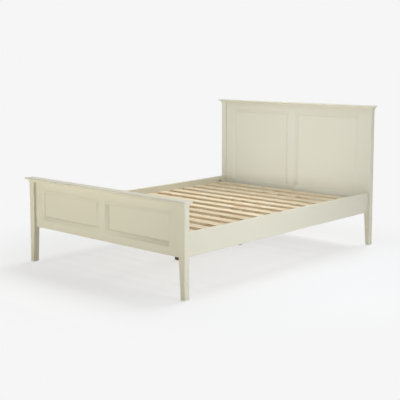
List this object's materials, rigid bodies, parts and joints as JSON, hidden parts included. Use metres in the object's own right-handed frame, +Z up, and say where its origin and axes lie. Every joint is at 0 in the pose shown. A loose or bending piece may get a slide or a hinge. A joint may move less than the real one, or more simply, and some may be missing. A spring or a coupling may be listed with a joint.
{
  "type": "bed frame",
  "caption": "Low double bed frame with panelled headboard and footboard, moulded caps, tapered posts, side rails and a slatted base on a centre rail.",
  "frame": {"origin": "on the floor, in the middle of the whole outline", "axes": "+X across the bed to its right side as seen from the foot, +Y from the foot to the head, +Z up"},
  "size_m": [1.484, 2.049, 1.033],
  "materials": {
    "painted_wood": "satin ivory paint",
    "pine": "bare planed softwood",
    "brown_wood": "brown stain",
    "zinc_steel": "zinc plate",
    "beech_dowel": "bare beech",
    "glide_plastic": "moulded",
    "webbing": "woven polyester"
  },
  "bodies": {
    "root": {"head_post_left": "painted_wood", "head_post_right": "painted_wood", "head_cap": "painted_wood", "head_top_rail": "painted_wood", "head_bottom_rail": "painted_wood", "head_stile_left": "painted_wood", "head_stile_right": "painted_wood", "head_centre_stile": "painted_wood", "head_panel_left": "painted_wood", "head_panel_right": "painted_wood", "foot_post_left": "painted_wood", "foot_post_right": "painted_wood", "foot_cap": "painted_wood", "foot_top_rail": "painted_wood", "foot_bottom_rail": "painted_wood", "foot_stile_left": "painted_wood", "foot_stile_right": "painted_wood", "foot_centre_stile": "painted_wood", "foot_panel_left": "painted_wood", "foot_panel_right": "painted_wood", "side_rail_left": "painted_wood", "side_rail_right": "painted_wood", "ledge_left": "pine", "ledge_right": "pine", "centre_rail": "pine", "slat_01": "pine", "slat_02": "pine", "slat_03": "pine", "slat_04": "pine", "slat_05": "pine", "slat_06": "pine", "slat_07": "pine", "slat_08": "pine", "slat_09": "pine", "slat_10": "pine", "slat_11": "pine", "slat_12": "pine", "slat_13": "pine", "slat_14": "pine", "centre_leg_foot": "brown_wood", "centre_leg_head": "brown_wood", "ledge_screws": "zinc_steel", "rail_studs": "zinc_steel", "rail_washers": "zinc_steel", "rail_nuts": "zinc_steel", "centre_bracket_foot": "zinc_steel", "centre_bracket_head": "zinc_steel", "bracket_screws": "zinc_steel", "leg_studs": "zinc_steel", "slat_screws": "zinc_steel", "head_dowels": "beech_dowel", "foot_dowels": "beech_dowel", "rail_dowels": "beech_dowel", "post_glides": "glide_plastic", "leg_glides": "glide_plastic", "slat_tape_left": "webbing", "slat_tape_right": "webbing"}
  },
  "joints": []
}
